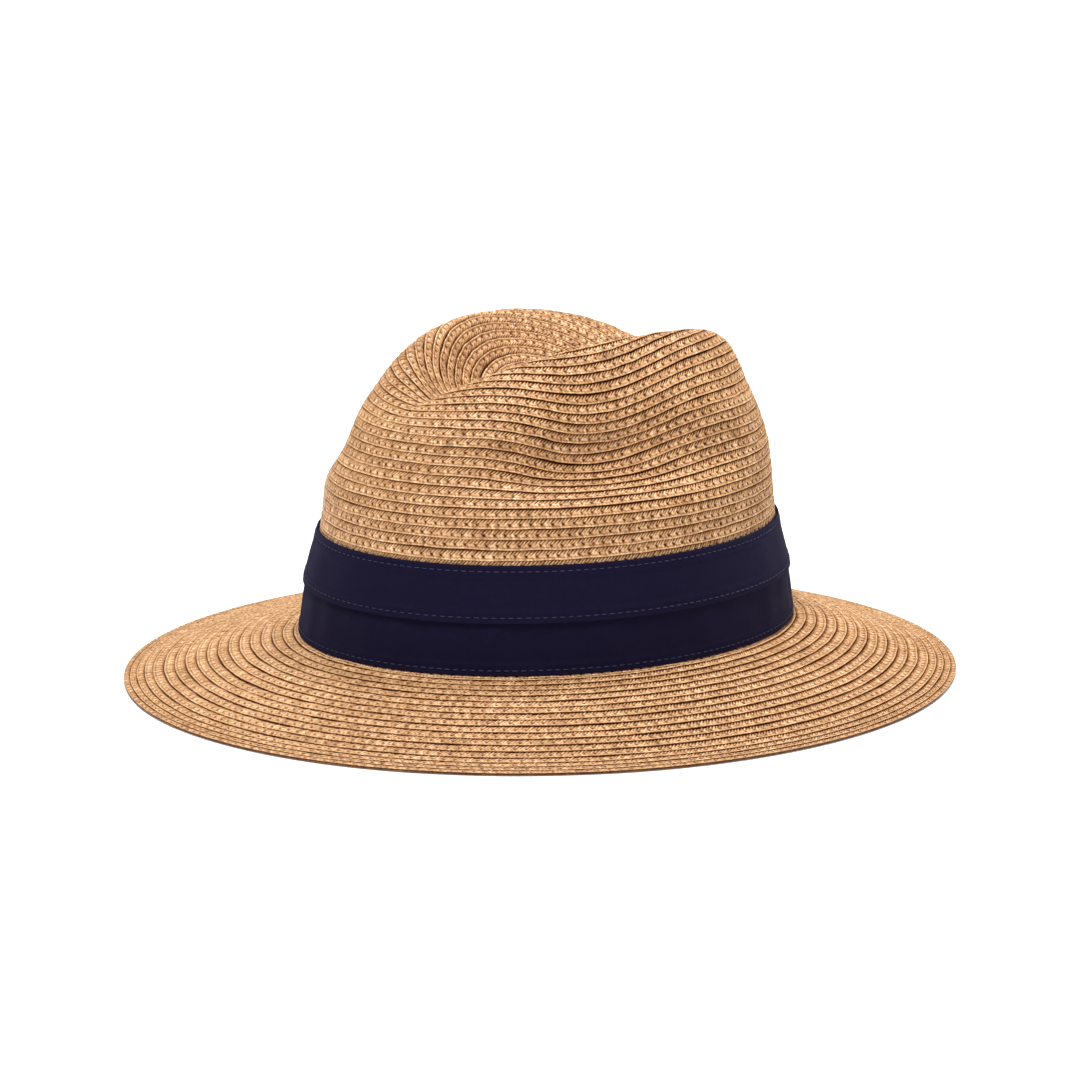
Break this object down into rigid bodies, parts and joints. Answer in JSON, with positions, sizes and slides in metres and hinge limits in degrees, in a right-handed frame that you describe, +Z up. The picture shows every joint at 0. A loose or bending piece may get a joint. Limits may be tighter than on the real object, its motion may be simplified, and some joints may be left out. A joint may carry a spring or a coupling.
{
  "type": "fedora hat",
  "caption": "Creased straw fedora of sewn paper braid with a pinched crown, a wired oval brim, a tiered navy cloth band and an inner sweatband.",
  "frame": {"origin": "middle of the brim's oval, on the surface that the brim rests on", "axes": "+Z up, -Y out of the hat's front, where the crease opens, +X towards the wearer's left; the oval's long way is Y"},
  "size_m": [0.316, 0.3334, 0.1361],
  "materials": {
    "straw_braid": "tan twisted paper braid, matte with a slight sheen on the strands",
    "straw_thread": "tan sewing thread",
    "edge_wire_steel": "drawn steel wire and crimped tube",
    "navy_cloth": "matte navy plain-weave cotton",
    "navy_thread": "navy sewing thread, a little lighter than the cloth",
    "sweatband_cotton": "natural cotton twill tape",
    "label_tape": "blank off-white woven tape"
  },
  "bodies": {
    "root": {"crown_braid": "straw_braid", "brim_braid": "straw_braid", "brim_edge_braid": "straw_braid", "brim_edge_wire": "edge_wire_steel", "wire_joint_sleeve": "edge_wire_steel", "brim_edge_stitching": "straw_thread", "hat_band_lower": "navy_cloth", "hat_band_upper": "navy_cloth", "band_join_tab": "navy_cloth", "band_bottom_stitching": "navy_thread", "band_middle_stitching": "navy_thread", "band_top_stitching": "navy_thread", "sweatband": "sweatband_cotton", "sweatband_stitching": "straw_thread", "sweatband_join_tape": "sweatband_cotton", "size_label": "label_tape"}
  },
  "joints": []
}
